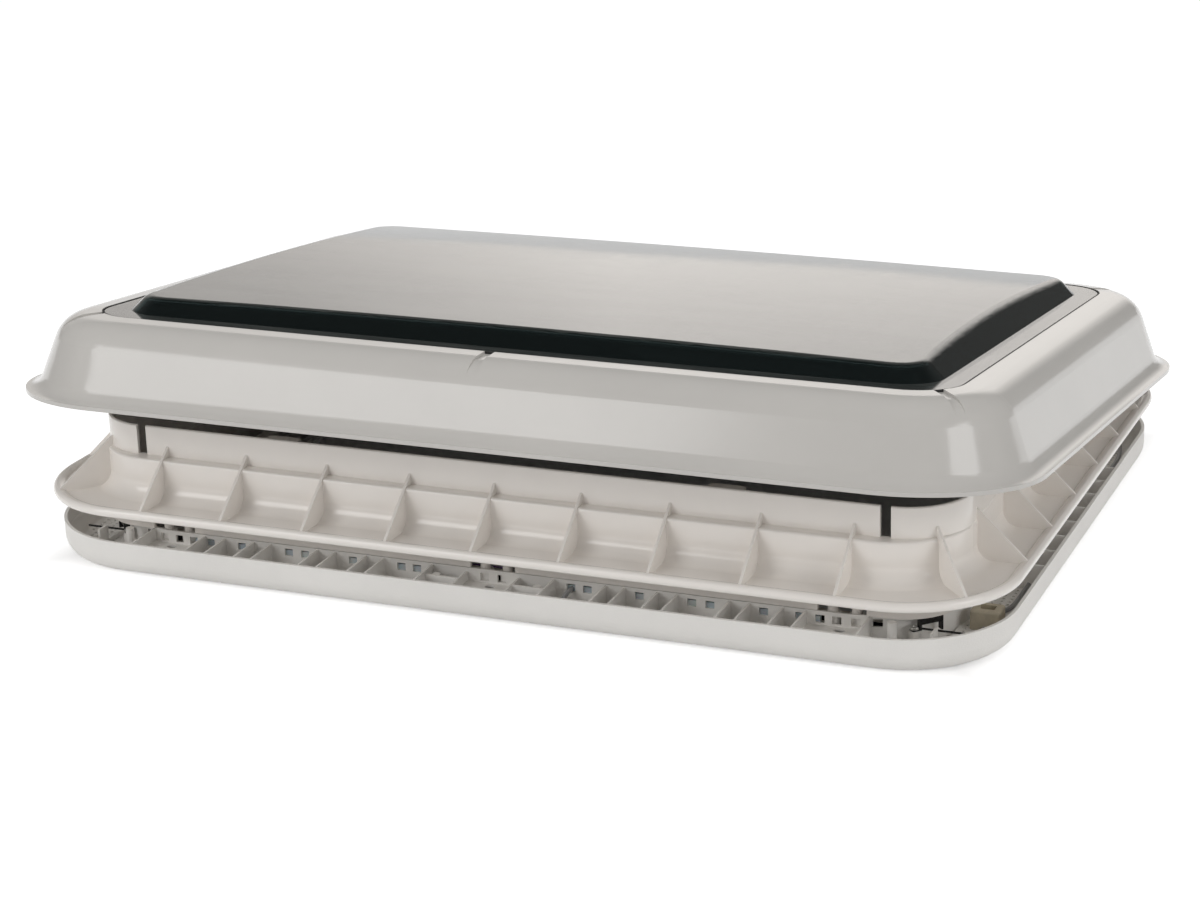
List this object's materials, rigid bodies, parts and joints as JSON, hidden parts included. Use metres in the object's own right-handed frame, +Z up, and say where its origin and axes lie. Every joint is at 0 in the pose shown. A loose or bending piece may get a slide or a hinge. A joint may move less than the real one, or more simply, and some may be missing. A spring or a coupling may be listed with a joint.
{
  "type": "rv skylight",
  "caption": "Rectangular camper roof skylight: white flanged frame, ceiling tray, and a domed dark glazed lid hinged at the rear, with stays, latches and pull-out blinds.",
  "frame": {"origin": "centre of the rectangular roof cut-out, on the roof's outer face (the underside of the outer flange)", "axes": "+X along the long side to the right, +Y to the hinged rear, +Z up out of the roof; the lid lifts at -Y"},
  "size_m": [0.813, 0.6022, 0.2028],
  "materials": {
    "outer_frame": "satin",
    "tray": "fine grain, matt",
    "skirt_white": "gloss",
    "bezel_white": "satin",
    "smoked_acrylic": "polished",
    "inner_acrylic": "polished",
    "black_rubber": "matt",
    "black_steel": "satin black",
    "bright_screw": "bright zinc",
    "steel": "brushed",
    "aluminium_arm": "satin",
    "dark_plastic": "satin",
    "light_strip": "milky",
    "violet_wire": "gloss",
    "white_wire": "gloss",
    "grey_cable": "satin",
    "connector": "satin",
    "shade_cloth": "matt",
    "screen_cloth": "matt mesh"
  },
  "bodies": {
    "frame": {"roof_flange": "outer_frame", "inner_frame": "tray", "spring_clips": "black_steel", "post_screws": "bright_screw", "clamp_screws": "bright_screw", "light_strip_front": "light_strip", "light_strip_rear": "light_strip", "light_wire_violet": "violet_wire", "light_wire_white": "white_wire", "supply_connector": "connector", "light_cable_front": "grey_cable", "light_cable_rear": "grey_cable", "switch_case": "dark_plastic", "shade_pleats": "shade_cloth", "screen_pleats": "screen_cloth", "shade_anchor": "bezel_white", "screen_anchor": "bezel_white", "hinge_pins": "steel", "hinge_bracket_screws": "bright_screw", "vent_grille_front_right": "tray", "vent_grille_front_left": "tray", "vent_grille_rear_right": "tray", "vent_grille_rear_left": "tray", "blind_rail_right": "bezel_white", "stay_rail_right": "bezel_white", "hinge_bracket_right": "outer_frame", "keeper_right": "bezel_white", "blind_rail_left": "bezel_white", "stay_rail_left": "bezel_white", "hinge_bracket_left": "outer_frame", "keeper_left": "bezel_white"},
    "lid": {"lid_frame": "skirt_white", "pane_gasket": "black_rubber", "outer_pane": "smoked_acrylic", "lid_ring": "bezel_white", "inner_pane": "inner_acrylic", "lid_seal": "black_rubber", "ring_screws": "bright_screw", "leaf_screws": "bright_screw", "hinge_leaf_right": "bezel_white", "hinge_leaf_left": "bezel_white", "stay_bracket_right": "steel", "stay_bracket_left": "steel", "latch_stud_right": "steel", "latch_stud_left": "steel"},
    "stay_right": {"stay_arm_right": "aluminium_arm"},
    "stay_left": {"stay_arm_left": "aluminium_arm"},
    "shoe_right": {"stay_shoe_right": "bezel_white"},
    "shoe_left": {"stay_shoe_left": "bezel_white"},
    "latch_right": {"latch_lever_right": "bezel_white"},
    "latch_left": {"latch_lever_left": "bezel_white"},
    "shade": {"shade_bar": "bezel_white"},
    "screen": {"screen_bar": "bezel_white"},
    "light_button": {"switch_button": "dark_plastic"}
  },
  "joints": [
    {"name": "lid_hinge", "type": "hinge", "parent": "frame", "child": "lid", "pos_m": [0, 0.272, 0.05], "axis": [-1, 0, 0], "range_deg": [-6.75, 43.25]},
    {"name": "stay_swing_right", "type": "hinge", "parent": "lid", "child": "stay_right", "pos_m": [0.3355, 0.0851, 0.0842], "axis": [-1, 0, 0], "range_deg": [-86.6, 13.6]},
    {"name": "shoe_pivot_right", "type": "hinge", "parent": "stay_right", "child": "shoe_right", "pos_m": [0.3355, -0.10179, 0.05], "axis": [-1, 0, 0], "range_deg": [-6.8, 43.3]},
    {"name": "stay_swing_left", "type": "hinge", "parent": "lid", "child": "stay_left", "pos_m": [-0.3355, 0.0851, 0.0842], "axis": [-1, 0, 0], "range_deg": [-86.6, 13.6]},
    {"name": "shoe_pivot_left", "type": "hinge", "parent": "stay_left", "child": "shoe_left", "pos_m": [-0.3355, -0.10179, 0.05], "axis": [-1, 0, 0], "range_deg": [-6.8, 43.3]},
    {"name": "latch_turn_right", "type": "hinge", "parent": "lid", "child": "latch_right", "pos_m": [0.18, -0.20997, 0.10422], "axis": [0, 0.1175, 0.9931], "range_deg": [0, 90]},
    {"name": "latch_turn_left", "type": "hinge", "parent": "lid", "child": "latch_left", "pos_m": [-0.18, -0.20997, 0.10422], "axis": [0, -0.1175, -0.9931], "range_deg": [0, 90]},
    {"name": "shade_pull", "type": "slide", "parent": "frame", "child": "shade", "axis": [0, -1, 0], "range_m": [0, 0.42], "deforming": ["shade_pleats"]},
    {"name": "screen_pull", "type": "slide", "parent": "frame", "child": "screen", "axis": [0, 1, 0], "range_m": [0, 0.42], "deforming": ["screen_pleats"]},
    {"name": "light_button_press", "type": "slide", "parent": "frame", "child": "light_button", "axis": [0, 0, 1], "range_m": [0, 0.0012], "stiffness_N_per_m": 800}
  ],
  "couplings": [
    {"joint": "stay_swing_right", "follows": "lid_hinge", "ratio": -2},
    {"joint": "shoe_pivot_right", "follows": "lid_hinge", "ratio": 1},
    {"joint": "stay_swing_left", "follows": "lid_hinge", "ratio": -2},
    {"joint": "shoe_pivot_left", "follows": "lid_hinge", "ratio": 1}
  ]
}
